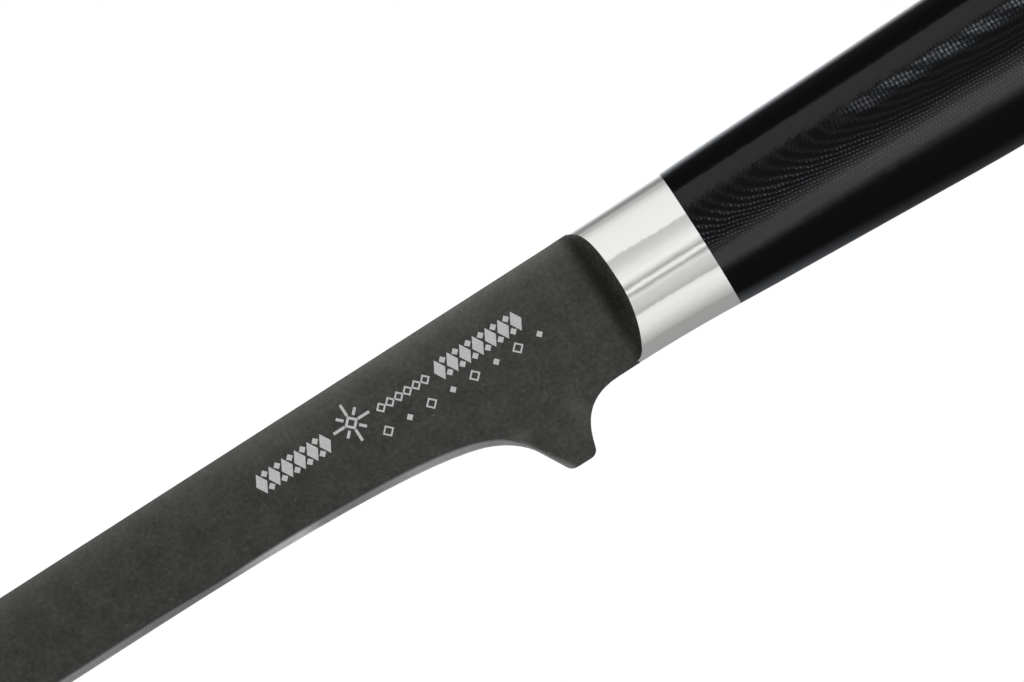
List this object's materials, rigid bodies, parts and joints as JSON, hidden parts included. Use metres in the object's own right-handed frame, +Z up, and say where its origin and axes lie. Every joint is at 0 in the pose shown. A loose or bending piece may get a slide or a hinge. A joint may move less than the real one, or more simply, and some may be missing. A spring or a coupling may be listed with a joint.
{
  "type": "boning knife",
  "caption": "Boning knife with a dark flat-ground blade, a finger lug at its heel, a polished oval bolster and a black cloth-laminate handle over a hidden welded tang.",
  "frame": {"origin": "middle of the knife's footprint as it lies on its side, at the level it rests on", "axes": "+X from the blade's tip towards the butt of the handle, +Y from the cutting edge towards the spine, +Z up through the blade's thickness"},
  "size_m": [0.2901, 0.0327, 0.0194],
  "materials": {
    "blade_steel": "dark stonewashed, with a bright ground edge",
    "bolster_steel": "polished",
    "handle_laminate": "satin, polished black glass-cloth laminate",
    "dowel_laminate": "plain",
    "hidden_steel": "as welded",
    "epoxy": "cured"
  },
  "bodies": {
    "root": {"blade": "blade_steel", "bolster": "bolster_steel", "bolster_weld": "hidden_steel", "tang_rod": "hidden_steel", "tang_rod_weld": "hidden_steel", "handle_left": "handle_laminate", "handle_right": "handle_laminate", "handle_dowels": "dowel_laminate", "tang_adhesive": "epoxy"}
  },
  "joints": []
}
